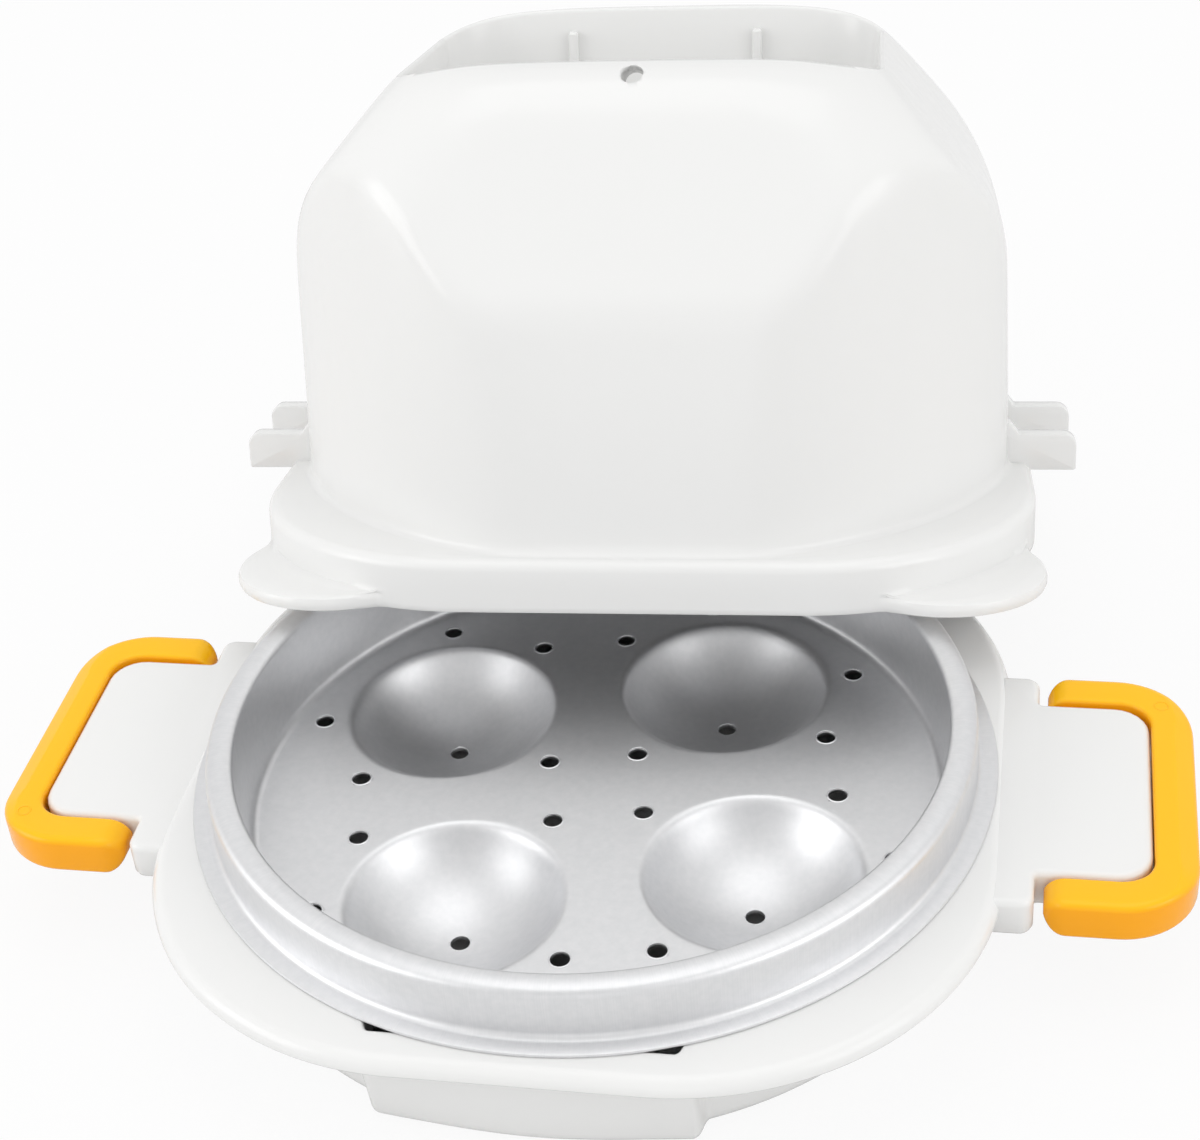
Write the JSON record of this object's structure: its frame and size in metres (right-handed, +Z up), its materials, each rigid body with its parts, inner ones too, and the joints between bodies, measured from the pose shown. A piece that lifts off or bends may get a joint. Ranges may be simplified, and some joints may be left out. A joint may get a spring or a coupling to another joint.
{
  "type": "microwave egg cooker",
  "caption": "Egg steamer for a microwave oven: water base with a pouring front, loose aluminium egg tray, swinging bail latches and a lined dome lid that leans open on the tray.",
  "frame": {"origin": "on the table, under the middle of the base, where the tub's underside stands", "axes": "+Z up; -Y is the front with the flat pouring wall; +X is the right-hand latch seen from the front"},
  "size_m": [0.2208, 0.2595, 0.1288],
  "materials": {
    "base": "glossy white polypropylene",
    "egg_tray": "satin, drawn sheet",
    "left_latch": "glossy yellow-orange",
    "right_latch": "glossy yellow-orange",
    "lid_shell": "glossy white polypropylene",
    "lid_liner": "satin, drawn sheet"
  },
  "bodies": {
    "base": {"base": "base"},
    "tray": {"egg_tray": "egg_tray"},
    "lid": {"lid_shell": "lid_shell", "lid_liner": "lid_liner"},
    "left_latch": {"left_latch": "left_latch"},
    "right_latch": {"right_latch": "right_latch"}
  },
  "joints": [
    {"name": "left_latch_pivot", "type": "hinge", "parent": "base", "child": "left_latch", "pos_m": [-0.0876, 0, 0.021], "axis": [0, 1, 0], "range_deg": [0, 95]},
    {"name": "right_latch_pivot", "type": "hinge", "parent": "base", "child": "right_latch", "pos_m": [0.0876, 0, 0.021], "axis": [0, -1, 0], "range_deg": [0, 95]},
    {"name": "tray_lift", "type": "slide", "parent": "base", "child": "tray", "axis": [0, 0, 1], "range_m": [0, 0.06]},
    {"name": "lid_lift", "type": "slide", "parent": "tray", "child": "lid", "axis": [0, 0, 1], "range_m": [0, 0.09]}
  ]
}
